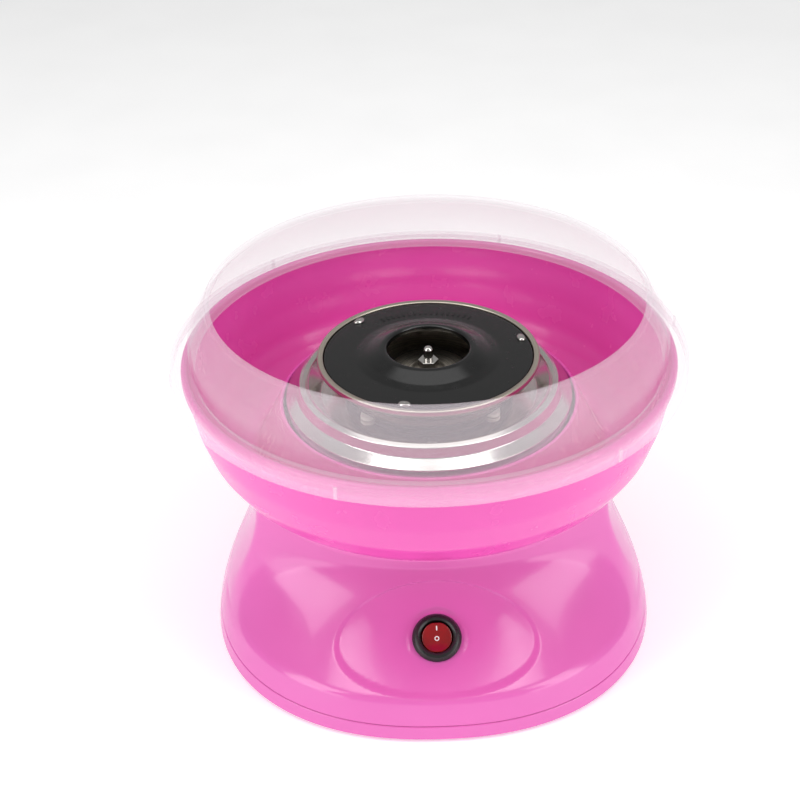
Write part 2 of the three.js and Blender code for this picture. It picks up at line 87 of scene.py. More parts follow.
SWITCH_Y = -86.0
SWITCH_Z = 38.9
SWITCH_TILT = math.radians(58.0)
SWITCH_HOLE = 10.2
SEAT_RADIUS = 14.0
SEAT_EASE = 2.5
SEAT_SIDE = 0.3              # the seat is looked for this far to each side, in radians
ROCKER_TURN = math.radians(10.0)
ROCKER_RADIUS = 7.9
ROCKER_HALF = 7.6
MARK_ON_Y = 4.9              # places of the two marks along the rocker
MARK_OFF_Y = -0.4

GLAND_Z = 24.0
GLAND_TILT = math.radians(17.0)
VENT_ANGLES = (70, 80, 90, 100, 110)
FOOT_SPOTS = [(x, y) for y in (52, -52) for x in (84, -84)]
POST_SPOTS = [(x, y) for x in (53, -53) for y in (66, -66)]

GUARD_RADIUS = 135.0
GUARD_FLANGE_TOP = 166.2
GUARD_SKIRT_BOTTOM = 158.0
GUARD_TOP = 199.0
GUARD_WALL = 1.6
TAB_CIRCLE = 51.5
TAB_ANGLES = (15, 135, 255)
HUB_RADIUS = 8.8
HUB_BORE = 2.8

CAMERA_PLACE = (-15.5, -697.2, 568.4)
CAMERA_PITCH = math.radians(32.08)
CAMERA_ROLL = math.radians(-1.68)
CAMERA_LENS = 69.3           # on a sensor 36 mm wide
FLOOR_REACH = 4000.0


# ------------------------------------------------------------------ mesh helpers
def new_piece(name, vertices, faces, material=None):
    """A smooth-shaded mesh object from points in millimetres."""
    mesh = bpy.data.meshes.new(name)
    mesh.from_pydata((np.asarray(vertices, float) * MM).tolist(), [], faces)
    mesh.update()
    piece = bpy.data.objects.new(name, mesh)
    bpy.context.scene.collection.objects.link(piece)
    if material:
        mesh.materials.append(material)
    return smooth(piece)


def smooth(piece, sharp_angle=50):
    """Smooth shading that keeps edges sharper than the angle, with flat faces left flat."""
    mesh = piece.data
    mesh.polygons.foreach_set("use_smooth", [True] * len(mesh.polygons))
    mesh.set_sharp_from_angle(angle=math.radians(sharp_angle))
    if "flat_faces" not in piece.modifiers:
        piece.modifiers.new("flat_faces", "WEIGHTED_NORMAL").keep_sharp = True
    return piece


def lofted(rings, closed=True):
    """Vertices and quads of rings of equal length, joined one after the other.

    A closed loft joins its last ring to its first; an open one is capped at both ends.
    """
    count, columns = len(rings), len(rings[0])
    vertices = np.concatenate(rings)
    faces = []
    for i in range(count if closed else count - 1):
        low, high = i * columns, (i + 1) % count * columns
        for j in range(columns):
            k = (j + 1) % columns
            faces.append((low + j, low + k, high + k, high + j))
    if not closed:
        faces.append(tuple(range(columns))[::-1])
        faces.append(tuple((count - 1) * columns + j for j in range(columns)))
    return vertices, faces


def rounded(points, radius, steps=4):
    """A closed outline with each corner eased by up to the radius."""
    points = [np.array(p, float) for p in points]
    outline = []
    for before, corner, after in zip(points[-1:] + points[:-1], points, points[1:] + points[:1]):
        back, ahead = before - corner, after - corner
        length_back, length_ahead = np.linalg.norm(back), np.linalg.norm(ahead)
        ease_back, ease_ahead = min(radius, 0.45 * length_back), min(radius, 0.45 * length_ahead)
        start = corner + back / length_back * ease_back
        end = corner + ahead / length_ahead * ease_ahead
        for t in np.linspace(0, 1, steps + 1):
            outline.append((1 - t) ** 2 * start + 2 * t * (1 - t) * corner + t * t * end)
    return outline


def turned(name, profile, material=None, radius=0.5, columns=ROUND, steps=4, matrix=None):
    """A solid of revolution round Z from a closed outline of (radius, height) points."""
    angles = np.arange(columns) * 2 * math.pi / columns
    rings = [
        np.stack([max(r, 0.02) * np.cos(angles), max(r, 0.02) * np.sin(angles), np.full(columns, z)], 1)
        for r, z in rounded(profile, radius, steps)
    ]
    vertices, faces = lofted(rings)
    piece = new_piece(name, vertices, faces, material)
    if matrix:
        move(piece, matrix)
    return piece


def move(piece, matrix):
    """Moves a piece's mesh by a matrix whose translation is in millimetres."""
    scaled = matrix.copy()
    scaled.translation = scaled.translation * MM
    piece.data.transform(scaled)
    piece.data.update()
    return piece


def prism(name, outline, low, high, material=None, matrix=None):
    """An outline in X and Y, between two heights."""
    rings = [np.array([(x, y, z) for x, y in outline], float) for z in (low, high)]
    vertices, faces = lofted(rings, closed=False)
    piece = new_piece(name, vertices, faces, material)
    if matrix:
        move(piece, matrix)
    return piece


def circle(radius, count=48):
    return [
        (radius * math.cos(2 * math.pi * i / count), radius * math.sin(2 * math.pi * i / count))
        for i in range(count)
    ]


def slot_outline(half_width, half_length, count=10):
    """A slot with round ends, long along Y."""
    turns = np.linspace(0, math.pi, count)
    straight = half_length - half_width
    top = [(half_width * math.cos(t), straight + half_width * math.sin(t)) for t in turns]
    return top + [(-x, -y) for x, y in top]


def joined(pieces, name):
    """One object from several, keeping the first one's materials."""
    first, *others = pieces
    meshes = [p.data for p in pieces]
    vertices, faces, offset = [], [], 0
    for mesh in meshes:
        vertices += [tuple(v.co / MM) for v in mesh.vertices]
        faces += [tuple(v + offset for v in p.vertices) for p in mesh.polygons]
        offset += len(mesh.vertices)
    whole = new_piece(name, vertices, faces, first.data.materials[0] if first.data.materials else None)
    for piece in [first, *others]:
        bpy.data.objects.remove(piece)
    whole.name = name
    return whole


def cut(piece, cutters):
    """Cuts closed pieces out of a closed piece, and removes the cutters."""
    cutter = joined(cutters, "cutter") if len(cutters) > 1 else cutters[0]
    modifier = piece.modifiers.new("cut", "BOOLEAN")
    modifier.operation = "DIFFERENCE"
    modifier.solver = "MANIFOLD"
    modifier.object = cutter
    piece.modifiers.move(len(piece.modifiers) - 1, 0)
    piece.modifiers["flat_faces"].show_viewport = False
    evaluated = piece.evaluated_get(bpy.context.evaluated_depsgraph_get())
    mesh = bpy.data.meshes.new_from_object(evaluated)
    piece.modifiers.remove(piece.modifiers["cut"])
    piece.modifiers["flat_faces"].show_viewport = True
    piece.data = mesh
    bpy.data.objects.remove(cutter)
    return smooth(piece, 35)


def rotation_z(degrees):
    return Matrix.Rotation(math.radians(degrees), 4, "Z")


def shift(x, y, z):
    return Matrix.Translation((x, y, z))


# Frames of the pieces that point outwards from the front panel and the rear wall.
SWITCH_FRAME = shift(0, SWITCH_Y, SWITCH_Z) @ Matrix.Rotation(math.pi / 2 - SWITCH_TILT, 4, "X")


# ------------------------------------------------------------------ materials
def linear(hex_colour):
    """A linear colour from an sRGB hex string."""
    values = [int(hex_colour[i:i + 2], 16) / 255 for i in (0, 2, 4)]
    return tuple(v / 12.92 if v <= 0.04045 else ((v + 0.055) / 1.055) ** 2.4 for v in values) + (1.0,)


def shade(colour, factor):
    return tuple(min(1.0, c * factor) for c in colour[:3]) + (1.0,)


def node(tree, kind, inputs=None, **settings):
    made = tree.nodes.new(kind)
    for name, value in settings.items():
        setattr(made, name, value)
    for name, value in (inputs or {}).items():
        made.inputs[name].default_value = value
    return made


def ring_coordinates(tree, place):
    """Coordinates that change along the radius and the height only, for spun metal."""
    flat = node(tree, "ShaderNodeVectorMath", {1: (1.0, 1.0, 0.0)}, operation="MULTIPLY")
    length = node(tree, "ShaderNodeVectorMath", operation="LENGTH")
    parts = node(tree, "ShaderNodeSeparateXYZ")
    rings = node(tree, "ShaderNodeCombineXYZ")
    tree.links.new(place, flat.inputs[0])
    tree.links.new(flat.outputs[0], length.inputs[0])
    tree.links.new(place, parts.inputs[0])
    tree.links.new(length.outputs["Value"], rings.inputs["X"])
    tree.links.new(parts.outputs["Z"], rings.inputs["Z"])
    return rings.outputs[0]


def noise(tree, place, scale, detail=3.0, roughness=0.5):
    made = node(tree, "ShaderNodeTexNoise", {"Scale": scale, "Detail": detail, "Roughness": roughness})
    tree.links.new(place, made.inputs["Vector"])
    return made.outputs["Fac"]


def spread(tree, value, low, high, start=0.3, end=0.7):
    """A noise value mapped to a range."""
    mapped = node(tree, "ShaderNodeMapRange", {1: start, 2: end, 3: low, 4: high})
    tree.links.new(value, mapped.inputs[0])
    return mapped.outputs[0]


def finish(name, colour, roughness, metal=0.0, variation=0.04, cloud=30.0, grain=1400.0,
           relief=0.01, rough_spread=0.25, spun=False, sockets=None):
    """A surface whose colour, roughness and fine relief vary as the real material's do.

    cloud and grain are noise scales per metre, and relief is the grain's depth in mm.
    """
    made = bpy.data.materials.new(name)
    made.use_nodes = True
    tree = made.node_tree
    shader = tree.nodes["Principled BSDF"]
    shader.inputs["Metallic"].default_value = metal
    for socket, value in (sockets or {}).items():
        shader.inputs[socket].default_value = value
    place = node(tree, "ShaderNodeTexCoord").outputs["Object"]
    along = ring_coordinates(tree, place) if spun else place
    tint = node(tree, "ShaderNodeMix", {6: shade(colour, 1 - variation), 7: shade(colour, 1 + variation)},
                data_type="RGBA")
    tree.links.new(spread(tree, noise(tree, along, cloud, 4.0), 0.0, 1.0), tint.inputs[0])
    tree.links.new(tint.outputs[2], shader.inputs["Base Color"])
    rough = spread(tree, noise(tree, along, cloud * 4, 3.0),
                   roughness * (1 - rough_spread), roughness * (1 + rough_spread))
    tree.links.new(rough, shader.inputs["Roughness"])
    bump = node(tree, "ShaderNodeBump", {"Strength": 1.0, "Distance": relief * MM})
    tree.links.new(noise(tree, along, grain, 2.0), bump.inputs["Height"])
    tree.links.new(bump.outputs[0], shader.inputs["Normal"])
    return made


PINK = finish("pink_plastic", linear("de68b6"), 0.2, variation=0.015, cloud=14, grain=700, relief=0.004,
              sockets={"Coat Weight": 0.25, "Coat Roughness": 0.06, "IOR": 1.5})
PINK_BOWL = finish("pink_bowl_plastic", linear("e450ae"), 0.24, variation=0.02, cloud=16, grain=800,
                   relief=0.005, sockets={"Coat Weight": 0.2, "Coat Roughness": 0.08, "IOR": 1.5})
CLEAR = finish("clear_milky_plastic", linear("f6ecf3"), 0.12, variation=0.01, cloud=20, grain=500,
               relief=0.003, sockets={"Alpha": 0.19, "IOR": 1.46})
BLACK_ENAMEL = finish("black_enamel", linear("040404"), 0.22, variation=0.12, cloud=60, grain=1600,
                      relief=0.01, sockets={"Coat Weight": 0.2, "Coat Roughness": 0.16})
BLACK_PLASTIC = finish("black_plastic", linear("1b1a1a"), 0.32, variation=0.08, cloud=80, grain=2600,
                       relief=0.012)
RED = finish("red_clear_plastic", linear("8e0610"), 0.12, variation=0.1, cloud=300, grain=900,
             relief=0.004, sockets={"Coat Weight": 0.25, "Coat Roughness": 0.1})
MARK_WHITE = finish("mark_white", linear("f2eeee"), 0.4, variation=0.03, cloud=600)
POLISHED = finish("polished_steel", linear("d9d5d0"), 0.16, 1.0, variation=0.06, cloud=700, grain=4000,
                  relief=0.004, spun=True, sockets={"Anisotropic": 0.5})
SPUN = finish("spun_aluminium", linear("c9c0b2"), 0.3, 1.0, variation=0.1, cloud=900, grain=5000,
              relief=0.008, spun=True, sockets={"Anisotropic": 0.6})
STEEL = finish("bright_steel", linear("cfccc8"), 0.2, 1.0, variation=0.06, cloud=300, grain=3000,
               relief=0.006)
SHEET_STEEL = finish("galvanised_steel", linear("a9abad"), 0.38, 1.0, variation=0.16, cloud=120,
                     grain=2200, relief=0.012)
HEATER_STEEL = finish("heat_darkened_steel", linear("5c4d46"), 0.45, 1.0, variation=0.25, cloud=160,
                      grain=2600, relief=0.015)
CERAMIC = finish("white_ceramic", linear("e9e4d8"), 0.6, variation=0.05, cloud=200, grain=3200, relief=0.02)
RUBBER = finish("black_rubber", linear("222222"), 0.8, variation=0.15, cloud=150, grain=2600, relief=0.03)
BRASS = finish("brass", linear("c09a48"), 0.3, 1.0, variation=0.1, cloud=200, grain=2600)
COPPER = finish("enamelled_copper", linear("a85c32"), 0.35, 1.0, variation=0.15, cloud=900, grain=3600,
                relief=0.03)
FERRITE = finish("ferrite", linear("3a3a3d"), 0.7, variation=0.15, cloud=300, grain=3600, relief=0.02)
NYLON = finish("nylon", linear("e8e6e0"), 0.45, variation=0.03, cloud=120, grain=2200)
RED_LEAD = finish("red_insulation", linear("a8121a"), 0.5, variation=0.08, cloud=400)

CAD_FINISHES = {
    "base_screw": STEEL, "dish_screw": STEEL, "damper_screw": STEEL, "switch_terminal": BRASS,
    "heating_ring": HEATER_STEEL, "heater_pin": HEATER_STEEL, "heater_bush": CERAMIC,
    "ring_support": CERAMIC, "heat_shield": SHEET_STEEL, "thermal_cutout": BRASS,
    "motor_bracket": SHEET_STEEL, "motor_can": SHEET_STEEL, "rotor_core": SHEET_STEEL,
    "motor_damper": RUBBER, "motor_end_cap": NYLON, "cooling_fan": NYLON, "motor_bearing": BRASS,
    "motor_magnet": FERRITE, "rotor_winding": COPPER, "commutator": COPPER, "drive_pin": STEEL,
    "sugar_screen": STEEL, "lead_live": RUBBER, "lead_switched": RED_LEAD, "lead_neutral": NYLON,
}


def finish_cad_nodes():
    """Gives each CAD node that stays in view its finish, soft edges and smooth shading."""
    for name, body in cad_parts.items():
        kinds = [kind for kind in CAD_FINISHES if name.startswith(kind)]
        if not kinds:
            continue
        body.data.materials.clear()
        body.data.materials.append(CAD_FINISHES[kinds[0]])
        bevel = body.modifiers.new("soft_edges", "BEVEL")
        bevel.width = 0.15 * MM
        bevel.segments = 2
        bevel.limit_method = "ANGLE"
        bevel.angle_limit = math.radians(50)
        smooth(body, 35)


# ------------------------------------------------------------------ the base's surface
def wall_width(z):
    """Half-width of the side wall at a height: a curve that flares out to the foot."""
    height = z - BASE_BOTTOM
    t = np.clip(height / NECK_HEIGHT, 0, 1)
    third = NECK_HEIGHT / 3
    low_control = BASE_HALF_WIDTH + FOOT_SLOPE * third
    high_control = NECK_HALF_WIDTH - NECK_SLOPE * third
    curve = ((1 - t) ** 3 * BASE_HALF_WIDTH + 3 * t * (1 - t) ** 2 * low_control
             + 3 * t * t * (1 - t) * high_control + t ** 3 * NECK_HALF_WIDTH)
    return curve + NECK_SLOPE * np.maximum(height - NECK_HEIGHT, 0)


def plan_outline(angle):
    """Distance of the rounded-square outline from the axis, for a half-width of 1."""
    across = np.abs(np.sin(angle)) ** SQUARENESS
    along = np.abs(np.cos(angle)) ** SQUARENESS
    return (across + along) ** (-1 / SQUARENESS)


def scoop_depth(z):
    """Depth of the scoop in the middle of the front: a ramp that curves up to the neck."""
    share = np.clip((z - SKIRT_TOP) / (SCOOP_TOP - SKIRT_TOP), 0, 1)
    reach = wall_width(SKIRT_TOP) - SCOOP_NECK
    below = np.maximum(SKIRT_TOP - z, 0) * reach * SCOOP_CURVE / (SCOOP_TOP - SKIRT_TOP)
    return wall_width(z) - SCOOP_NECK - reach * (1 - share) ** SCOOP_CURVE - below


def scoop_share(angle, z):
    """How much of that depth the scoop has towards its side edges, where it is none."""
    width = wall_width(z)
    edge_x = width * (1 - (abs(SCOOP_EDGE_Y) / width) ** SQUARENESS) ** (1 / SQUARENESS)
    centre = (edge_x ** 2 + SCOOP_EDGE_Y ** 2 - SCOOP_NECK ** 2) / (2 * SCOOP_NECK + 2 * SCOOP_EDGE_Y)
    along = -np.cos(angle) * centre
    arc = along + np.sqrt(along ** 2 - centre ** 2 + (SCOOP_NECK + centre) ** 2)
    share = (width * plan_outline(angle) - arc) / (width - SCOOP_NECK)
    return np.where(z < SKIRT_TOP, np.maximum(share, SKIRT_SHARE), share)


def panel_radius(angle, z):
    """Distance from the axis to the scooped front panel."""
    return wall_width(z) * plan_outline(angle) - scoop_depth(z) * scoop_share(angle, z)


def oval_depth(angle, radius, z):
    """Depth of the oval recess round the switch: a small step, then a shallow cone."""
    across = radius * np.sin(angle) / OVAL_HALF_WIDTH
    up = (z * math.cos(OVAL_TILT) - radius * np.cos(angle) * math.sin(OVAL_TILT) - OVAL_MIDDLE)
    distance = np.hypot(across, up / OVAL_HALF_HEIGHT)
    rise = np.clip((1 - distance) / OVAL_LIP, 0, 1)
    step = OVAL_STEP * rise * rise * (3 - 2 * rise)
    return step + OVAL_CONE * np.clip(1 - distance, 0, 1)


def seat_blend(angle, radius, z):
    """The surface eased to the flat seat under the switch's bezel."""
    cos_tilt, sin_tilt = math.cos(SWITCH_TILT), math.sin(SWITCH_TILT)
    height = cos_tilt * -SWITCH_Y + sin_tilt * SWITCH_Z - GAP
    seat = (height - z * sin_tilt) / (np.cos(angle) * cos_tilt)
    across = radius * np.sin(angle)
    up = (z - SWITCH_Z) * cos_tilt - (radius * np.cos(angle) + SWITCH_Y) * sin_tilt
    share = np.clip((np.hypot(across, up) - SEAT_RADIUS) / SEAT_EASE, 0, 1)
    share = share * share * (3 - 2 * share)
    return seat * (1 - share) + radius * share


def base_radius(angle, z):
    """Outer surface of the base at a direction and a height."""
    wall = wall_width(z) * plan_outline(angle)
    front = (np.cos(angle) > SCOOP_LIMIT) & (z < LIP_BOTTOM)
    panel = np.where(front, panel_radius(np.where(front, angle, 0), z), BEYOND)
    panel = np.where(front, panel - oval_depth(angle, panel, z), BEYOND)
    blend = RIDGE_BLEND * np.clip((np.cos(angle) - SCOOP_LIMIT) / SCOOP_FADE, 0.01, 1)
    overlap = np.clip(1 - np.abs(wall - panel) / blend, 0, 1)
    surface = np.minimum(wall, panel) - overlap ** 2 * blend / 4
    return np.where(front & (np.abs(angle) < SEAT_SIDE), seat_blend(angle, surface, z), surface)


def base_angles():
    """Directions of the base's columns, closer together across the front panel."""
    front = np.linspace(-80, 80, 481)
    back = np.linspace(80, 280, 201)[1:-1]
    return np.radians(np.concatenate([front, back]))


def base_ring(angles, radius, z):
    return np.stack([radius * np.sin(angles), -radius * np.cos(angles), np.full(len(angles), z)], 1)


# ------------------------------------------------------------------ base
def housing():
    """The moulded housing: outer wall, deck, raised column and the inside of the shell."""
    angles = base_angles()
    low = SEAM + GAP
    outer = [base_ring(angles, base_radius(angles, low) - 0.35, low)]
    outer += [base_ring(angles, base_radius(angles, z), z) for z in np.linspace(low + 0.35, DECK - 1.6, 150)]
    for turn in np.radians([30, 60, 90]):
        inset, z = 1.6 * (1 - math.cos(turn)), DECK - 1.6 + 1.6 * math.sin(turn)
        outer.append(base_ring(angles, base_radius(angles, z) - inset, z))
    top = rounded([
        (COLUMN_RADIUS + 6, DECK), (COLUMN_RADIUS, DECK), (COLUMN_RADIUS, COLUMN_TOP),
        (SHAFT_HOLE, COLUMN_TOP), (SHAFT_HOLE, COLUMN_TOP - SHELL),
        (COLUMN_RADIUS - SHELL, COLUMN_TOP - SHELL), (COLUMN_RADIUS - SHELL, DECK - SHELL),
    ], 1.2)[5:-5]
    middle = [base_ring(angles, np.full(len(angles), r), z) for r, z in top]
    inner = [base_ring(angles, base_radius(angles, min(z + SHELL, LIP_BOTTOM - 0.1)) - SHELL, z)
             for z in np.linspace(DECK - SHELL, low, 36)]
    vertices, faces = lofted(outer + middle + inner)
    shell = new_piece("housing", vertices, faces, PINK)
    vent = slot_outline(1.7, 13)
    upright = Matrix.Rotation(math.pi / 2, 4, "X")
    cutters = [
        prism("vent", vent, -125, -90, matrix=rotation_z(angle - 90) @ shift(0, 0, 60) @ upright)
        for angle in VENT_ANGLES
    ]
    cutters.append(prism("switch_hole", circle(SWITCH_HOLE), -20, 12, matrix=SWITCH_FRAME))
    cutters.append(prism("gland_hole", circle(6.2), -15, 15, matrix=gland_frame()))
    shell = cut(shell, cutters)
    bosses = [
        turned("boss", [(1.9, COLUMN_TOP - 1), (3.6, COLUMN_TOP - 1), (3.6, 136.7), (1.9, 136.7)], PINK,
               0.3, 32, matrix=rotation_z(angle) @ shift(52, 0, 0))
        for angle in (30, 150, 270)
    ]
    return joined([shell, *bosses], "housing")


def gland_frame():
    y = float(wall_width(GLAND_Z))
    return shift(0, y, GLAND_Z) @ Matrix.Rotation(GLAND_TILT - math.pi / 2, 4, "X")


def plate():
    """Base plate: its rim carries the housing's line down to the foot."""
    angles = base_angles()[::2]
    rim = rounded([
        (-30, BASE_BOTTOM), (-0.2, BASE_BOTTOM), (0, SEAM), (-SHELL, SEAM),
        (-SHELL, PLATE_TOP), (-30, PLATE_TOP),
    ], 0.7)
    rings = [
        base_ring(angles, wall_width(z) * plan_outline(angles) + inset, z) for inset, z in rim[5:-5]
    ]
    centre = [base_ring(angles, np.full(len(angles), 0.05), z) for z in (PLATE_TOP, BASE_BOTTOM)]
    vertices, faces = lofted(rings + centre)
    made = new_piece("bottom_plate", vertices, faces, PINK)
    cutters = [
        prism("foot_hole", circle(3.1, 32), 0, 10, matrix=shift(x, y, 0)) for x, y in FOOT_SPOTS
    ]
    cutters += [
        prism("screw_hole", circle(3.6, 32), 0, 4, matrix=shift(x, y, 0)) for x, y in POST_SPOTS
    ]
    slot = slot_outline(1.5, 12)
    cutters += [
        prism("air_slot", slot, 0, 10, matrix=rotation_z(angle) @ shift(0, 46, 0))
        for angle in range(0, 360, 45)
    ]
    return cut(made, cutters)


def rubber_foot(i, spot):
    profile = [(0, 0), (8, 0), (8, 1.7), (2.7, 1.7), (2.7, 5.8), (4.4, 5.8), (0, 8.5)]
    return turned(f"foot_{i}", profile, RUBBER, 0.35, 48, matrix=shift(*spot, 0))


def gland():
    """Strain-relief bush with a grip ring, through the rear wall."""
    profile = [(3.6, -9), (5.2, -9), (5.2, -7), (5.8, -4.6), (5.8, 1), (8.2, 1), (8.2, 2.4),
               (5.4, 5.4), (3.6, 5.4)]
    return turned("cord_bush", profile, BLACK_PLASTIC, 0.5, SMALL_ROUND, matrix=gland_frame())


def make_base():
    dress(housing(), "base", "pink_body", "base_housing")
    dress(plate(), "base", "pink_body", "base_plate")
    dress(gland(), "base", "black_plastic", "cord_gland")
    for i, spot in enumerate(FOOT_SPOTS, 1):
        dress(rubber_foot(i, spot), "base", "rubber", f"rubber_foot_{i}")


def dress(piece, body, slot, *replaced):
    """A finished piece rides on its body and stands for CAD nodes; the slot argument is not used."""
    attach(piece, body)
    if replaced:
        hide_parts(*replaced)
    return piece


# ------------------------------------------------------------------ power switch
def switch_shell():
    profile = [(0, -19), (9.9, -19), (9.9, 0), (12.9, 0), (12.9, 1.2), (11.5, 3.2), (9.9, 3.6),
               (8.6, 2.6), (8.5, 1.6), (8.5, -7), (0, -7)]
    return turned("switch_shell", profile, BLACK_PLASTIC, 0.45, 128, matrix=SWITCH_FRAME)


def rocker_height(y):
    """Height of the rocker's hollow face at a place along it."""
    t = (y + ROCKER_HALF) / (2 * ROCKER_HALF)
    return 2.6 - 4.4 * t * (1 - t)


def rocker():
    """A round rocker with a hollow face: rings shrink towards the middle of the face."""
    angles = np.arange(96) * 2 * math.pi / 96
    x, y = ROCKER_RADIUS * np.cos(angles), np.clip(ROCKER_RADIUS * np.sin(angles), -ROCKER_HALF, ROCKER_HALF)
    rings = [np.stack([x * s, y * s, np.full(96, -4.6)], 1) for s in (0.002, 0.25)]
    rings.append(np.stack([x, y, rocker_height(y) - 2.2], 1))
    rounding = ((1, 0.5), (0.985, 0.2), (0.95, 0.04))
    face = tuple((share, 0) for share in (0.9, 0.75, 0.5, 0.25, 0.002))
    for share, drop in rounding + face:
        rings.append(np.stack([x * share, y * share, rocker_height(y * share) - drop], 1))
    vertices, faces = lofted(rings, closed=False)
    matrix = SWITCH_FRAME @ Matrix.Rotation(ROCKER_TURN, 4, "X")
    return move(new_piece("rocker", vertices, faces, RED), matrix)


def rocker_mark(name, outline_outer, outline_inner=None):
    """A printed mark that follows the rocker's face, proud of it by a hair."""
    matrix = SWITCH_FRAME @ Matrix.Rotation(ROCKER_TURN, 4, "X")
    inner = outline_inner or [
        (0.02 * x, 0.02 * y + 0.98 * MARK_ON_Y) for x, y in outline_outer
    ]
    rings = [
        np.array([(x, y, rocker_height(y) + lift) for x, y in outline])
        for outline, lift in ((inner, -0.1), (outline_outer, -0.1), (outline_outer, 0.06), (inner, 0.06))
    ]
    vertices, faces = lofted(rings)
    return move(new_piece(name, vertices, faces, MARK_WHITE), matrix)


def make_switch():
    dress(switch_shell(), "base", "black_plastic", "switch_body")
    dress(rocker(), "rocker", "red_rocker", "switch_rocker")
    bar = [(x, y + MARK_ON_Y) for x, y in slot_outline(0.32, 1.25)]
    dress(rocker_mark("mark_on", bar), "rocker", "red_rocker")
    ring = [(x, y + MARK_OFF_Y) for x, y in circle(1.25)]
    hole = [(x, y + MARK_OFF_Y) for x, y in circle(0.75)]
    dress(rocker_mark("mark_off", ring, hole), "rocker", "red_rocker")


# ------------------------------------------------------------------ bowl and splash guard
def bowl():
    profile = [
        (77.4, 131.5), (89.5, 104), (90.5, 101.3), (99, 101.3), (105.2, 104.4), (112.4, 110.8),
        (119, 121), (124, 136), (127.4, 155), (129.2, 158), (129.2, 162.6), (127.4, 164),
        (125.4, 163.2), (124.6, 154), (121.4, 137), (116.6, 122.6), (110.6, 112.8), (103.6, 106.4),
        (98, 104.4), (93.8, 106), (80, 133), (79.4, 135), (77.4, 135),
    ]
    return turned("bowl_shell", profile, PINK_BOWL, 3.0, ROUND, 6)


def guard_wall(t):
    """Outer radius of the guard's domed wall, from its foot (0) to its rim (1)."""
    return 122.9 - 8.9 * t + 20 * t * (1 - t)


def guard():
    foot, rim, skirt = guard_wall(0), guard_wall(1), GUARD_RADIUS - GUARD_WALL
    top = GUARD_TOP - 3
    steps = np.linspace(0.1, 1, 10)

    def wall(inset, order):
        return [(guard_wall(t) - inset, GUARD_FLANGE_TOP + (top - GUARD_FLANGE_TOP) * t) for t in order]

    profile = [
        (foot - GUARD_WALL, 161.5), (foot, 161.5), (foot, GUARD_FLANGE_TOP - GUARD_WALL),
        (skirt - 0.6, GUARD_FLANGE_TOP - GUARD_WALL), (skirt, GUARD_SKIRT_BOTTOM),
        (GUARD_RADIUS, GUARD_SKIRT_BOTTOM), (GUARD_RADIUS, GUARD_FLANGE_TOP - 1.4),
        (GUARD_RADIUS - 1.4, GUARD_FLANGE_TOP), (foot + 1.4, GUARD_FLANGE_TOP),
        *wall(0, steps), (rim + 0.3, GUARD_TOP - 0.8), (rim - 0.8, GUARD_TOP),
        (rim - 2.9, GUARD_TOP - 0.6), (rim - 2.6, GUARD_TOP - 3.4), *wall(GUARD_WALL, steps[-2::-1]),
    ]
    body = turned("guard", profile, CLEAR, 0.8, ROUND)
    clip = [(-0.45, -0.9), (0.45, -0.9), (0.45, 0.9), (-0.45, 0.9)]
    clips = [
        prism("clip", clip, GUARD_SKIRT_BOTTOM + 0.5, GUARD_SKIRT_BOTTOM + 7.1, CLEAR,
              rotation_z(angle) @ shift(GUARD_RADIUS - 0.1, 0, 0))
        for angle in range(-110, 250, 60)
    ]
    return joined([body, *clips], "guard")


def make_bowl():
    dress(bowl(), "bowl", "pink_bowl", "bowl")
    dress(guard(), "splash_guard", "clear_guard", "splash_guard")


# ------------------------------------------------------------------ heater dish and spinner head
def dish():
    profile = [
        (11, 137), (58, 137), (64.6, 145), (66, 146), (67.6, 145.2), (69, 140), (75.6, 136.2),
        (76, 137.1), (70, 140.8), (68.7, 146), (66, 147.1), (63.8, 146), (57.4, 138), (11, 138),
    ]
    return turned("dish", profile, POLISHED, 0.6)


def pan():
    profile = [
        (2.8, 149.5), (9, 149.5), (9.2, 149), (44, 149.2), (54, 153.2), (58.4, 157.6), (58.4, 160),
        (57.6, 160.5), (55.3, 160.1), (55.3, 157), (52.6, 156.4), (43.4, 150.6), (9, 150.4), (2.8, 152.4),
    ]
    return turned("pan", profile, SPUN, 0.6)


def hub(name):
    """The pan's hub, in two halves beside the drive pin's slot."""
    halves = []
    for side in (0, 180):
        outward = np.linspace(0.15, math.pi - 0.15, 30)
        inward = np.linspace(math.pi - 0.45, 0.45, 14)
        outline = [(HUB_RADIUS * math.cos(t), HUB_RADIUS * math.sin(t)) for t in outward]
        inner = [(HUB_BORE * math.cos(t), HUB_BORE * math.sin(t)) for t in inward]
        halves.append(prism("half", outline + inner, 147.2, 149.6, SPUN, rotation_z(side)))
    return joined(halves, name)


def cover():
    profile = [
        (55, 157.3), (55, 159.6), (38, 159.6), (33, 160.6), (25, 163.9), (22.8, 164.2), (21.7, 163.6),
        (21.7, 160.8), (24, 161), (33, 158.2), (38, 157.3),
    ]
    body = turned("cover", profile, BLACK_ENAMEL, 0.9, ROUND, 6)
    rib = slot_outline(0.45, 2.0)
    ribs = [
        prism("rib", rib, 159.4, 159.95, BLACK_ENAMEL, rotation_z(angle) @ shift(0, 44.5, 0))
        for angle in range(-32, 33, 4)
    ]
    return joined([body, *ribs], "cover")


def tab(i, angle):
    """Oval tab that holds the cover, with a softly domed top."""
    profile = [(0, 156.4), (1.2, 156.4), (1.2, 159.9), (2.8, 159.9), (2.2, 160.9), (0, 161.1)]
    oval = Matrix.Diagonal((0.8, 1.25, 1, 1))
    return turned(f"tab_{i}", profile, STEEL, 0.35, 48,
                  matrix=rotation_z(angle) @ shift(TAB_CIRCLE, 0, 0) @ oval)


def nut():
    body = prism("nut", circle(5.6, 6), 152.7, 156.4, STEEL)
    chamfer = body.modifiers.new("chamfer", "BEVEL")
    chamfer.width = 0.4 * MM
    chamfer.segments = 3
    return body


